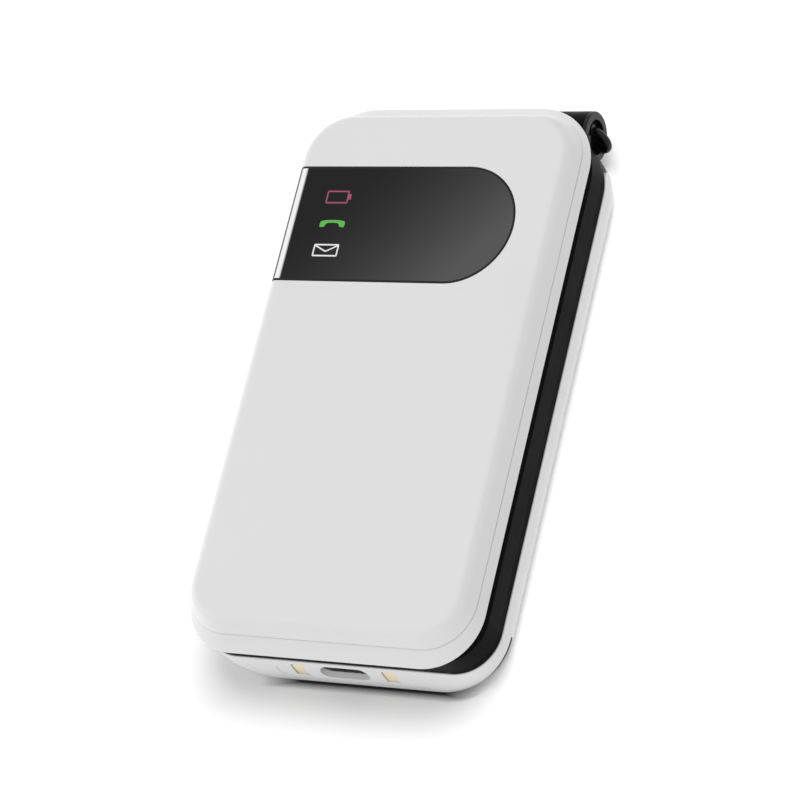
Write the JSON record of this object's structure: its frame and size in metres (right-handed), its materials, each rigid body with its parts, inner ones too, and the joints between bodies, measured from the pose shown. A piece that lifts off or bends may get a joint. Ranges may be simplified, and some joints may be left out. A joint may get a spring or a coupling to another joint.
{
  "type": "flip phone",
  "caption": "Closed clamshell phone with white covers, black middle frame, round-ended dark window on the lid, hinged lid, keypad, side keys and a bottom charging socket.",
  "frame": {"origin": "middle of the back face, on the surface that it rests on, midway between the sides and 51.8 mm from the lid's free end", "axes": "+X across the phone, +Y along it towards the hinge, +Z out of the lid's outer face"},
  "size_m": [0.0562, 0.1034, 0.0182],
  "materials": {
    "white_cover": "moulded white ABS with a satin sheen",
    "window": "smoked black acrylic, polished",
    "black_body": "black ABS, fine satin",
    "display_glass": "black-bordered display cover, polished",
    "display_metal": "pressed steel",
    "component": "moulded black component body",
    "circuit_board": "green solder mask",
    "lamp": "clear lamp body",
    "steel": "plain steel",
    "flex_film": "amber film",
    "soft_rubber": "soft black rubber",
    "battery_wrap": "dark printed wrap without print",
    "chassis": "glass-filled black plastic",
    "gold_contact": "gold flash",
    "keycap": "black key caps, satin",
    "side_key": "black key, satin"
  },
  "bodies": {
    "base": {"antenna": "component", "base_frame": "black_body", "base_screws": "steel", "base_shell": "white_cover", "battery": "battery_wrap", "battery_contacts": "gold_contact", "battery_cover": "white_cover", "charging_pads": "gold_contact", "charging_socket": "display_metal", "dome_sheet": "soft_rubber", "hinge_bush": "steel", "hinge_cap_left": "black_body", "hinge_cap_right": "black_body", "hinge_follower": "steel", "hinge_shaft": "steel", "hinge_spring": "steel", "inner_chassis": "chassis", "keypad_deck": "black_body", "loudspeaker": "component", "main_board": "circuit_board", "microphone": "component", "shield_can": "display_metal", "sim_holder": "component", "vibration_motor": "component"},
    "lid": {"lid_panel": "white_cover", "lid_window": "window", "lid_rim": "white_cover", "lid_bezel": "black_body", "display_lens": "display_glass", "display_module": "display_metal", "earpiece_speaker": "component", "earpiece_mesh": "display_metal", "lid_board": "circuit_board", "indicator_lamps": "lamp", "lid_magnet": "steel", "flex_cable": "flex_film", "lid_screws": "steel", "lid_bumpers": "soft_rubber", "hinge_cam": "steel"},
    "key_0": {"key_0": "keycap"},
    "key_1": {"key_1": "keycap"},
    "key_2": {"key_2": "keycap"},
    "key_3": {"key_3": "keycap"},
    "key_4": {"key_4": "keycap"},
    "key_5": {"key_5": "keycap"},
    "key_6": {"key_6": "keycap"},
    "key_7": {"key_7": "keycap"},
    "key_8": {"key_8": "keycap"},
    "key_9": {"key_9": "keycap"},
    "key_call": {"key_call": "keycap"},
    "key_down": {"key_down": "keycap"},
    "key_end": {"key_end": "keycap"},
    "key_hash": {"key_hash": "keycap"},
    "key_select": {"key_select": "keycap"},
    "key_soft_left": {"key_soft_left": "keycap"},
    "key_soft_right": {"key_soft_right": "keycap"},
    "key_star": {"key_star": "keycap"},
    "key_up": {"key_up": "keycap"},
    "volume_up": {"volume_up": "side_key"},
    "volume_down": {"volume_down": "side_key"}
  },
  "joints": [
    {"name": "lid_hinge", "type": "hinge", "parent": "base", "child": "lid", "pos_m": [0, 0.04715, 0.0083], "axis": [-1, 0, 0], "range_deg": [0, 160]},
    {"name": "key_0_press", "type": "slide", "parent": "base", "child": "key_0", "axis": [0, 0, -1], "range_m": [0, 0.00035], "stiffness_N_per_m": 300},
    {"name": "key_1_press", "type": "slide", "parent": "base", "child": "key_1", "axis": [0, 0, -1], "range_m": [0, 0.00035], "stiffness_N_per_m": 300},
    {"name": "key_2_press", "type": "slide", "parent": "base", "child": "key_2", "axis": [0, 0, -1], "range_m": [0, 0.00035], "stiffness_N_per_m": 300},
    {"name": "key_3_press", "type": "slide", "parent": "base", "child": "key_3", "axis": [0, 0, -1], "range_m": [0, 0.00035], "stiffness_N_per_m": 300},
    {"name": "key_4_press", "type": "slide", "parent": "base", "child": "key_4", "axis": [0, 0, -1], "range_m": [0, 0.00035], "stiffness_N_per_m": 300},
    {"name": "key_5_press", "type": "slide", "parent": "base", "child": "key_5", "axis": [0, 0, -1], "range_m": [0, 0.00035], "stiffness_N_per_m": 300},
    {"name": "key_6_press", "type": "slide", "parent": "base", "child": "key_6", "axis": [0, 0, -1], "range_m": [0, 0.00035], "stiffness_N_per_m": 300},
    {"name": "key_7_press", "type": "slide", "parent": "base", "child": "key_7", "axis": [0, 0, -1], "range_m": [0, 0.00035], "stiffness_N_per_m": 300},
    {"name": "key_8_press", "type": "slide", "parent": "base", "child": "key_8", "axis": [0, 0, -1], "range_m": [0, 0.00035], "stiffness_N_per_m": 300},
    {"name": "key_9_press", "type": "slide", "parent": "base", "child": "key_9", "axis": [0, 0, -1], "range_m": [0, 0.00035], "stiffness_N_per_m": 300},
    {"name": "key_call_press", "type": "slide", "parent": "base", "child": "key_call", "axis": [0, 0, -1], "range_m": [0, 0.00035], "stiffness_N_per_m": 300},
    {"name": "key_down_press", "type": "slide", "parent": "base", "child": "key_down", "axis": [0, 0, -1], "range_m": [0, 0.00035], "stiffness_N_per_m": 300},
    {"name": "key_end_press", "type": "slide", "parent": "base", "child": "key_end", "axis": [0, 0, -1], "range_m": [0, 0.00035], "stiffness_N_per_m": 300},
    {"name": "key_hash_press", "type": "slide", "parent": "base", "child": "key_hash", "axis": [0, 0, -1], "range_m": [0, 0.00035], "stiffness_N_per_m": 300},
    {"name": "key_select_press", "type": "slide", "parent": "base", "child": "key_select", "axis": [0, 0, -1], "range_m": [0, 0.00035], "stiffness_N_per_m": 300},
    {"name": "key_soft_left_press", "type": "slide", "parent": "base", "child": "key_soft_left", "axis": [0, 0, -1], "range_m": [0, 0.00035], "stiffness_N_per_m": 300},
    {"name": "key_soft_right_press", "type": "slide", "parent": "base", "child": "key_soft_right", "axis": [0, 0, -1], "range_m": [0, 0.00035], "stiffness_N_per_m": 300},
    {"name": "key_star_press", "type": "slide", "parent": "base", "child": "key_star", "axis": [0, 0, -1], "range_m": [0, 0.00035], "stiffness_N_per_m": 300},
    {"name": "key_up_press", "type": "slide", "parent": "base", "child": "key_up", "axis": [0, 0, -1], "range_m": [0, 0.00035], "stiffness_N_per_m": 300},
    {"name": "volume_up_press", "type": "slide", "parent": "base", "child": "volume_up", "axis": [1, 0, 0], "range_m": [0, 0.00025], "stiffness_N_per_m": 400},
    {"name": "volume_down_press", "type": "slide", "parent": "base", "child": "volume_down", "axis": [1, 0, 0], "range_m": [0, 0.00025], "stiffness_N_per_m": 400}
  ]
}
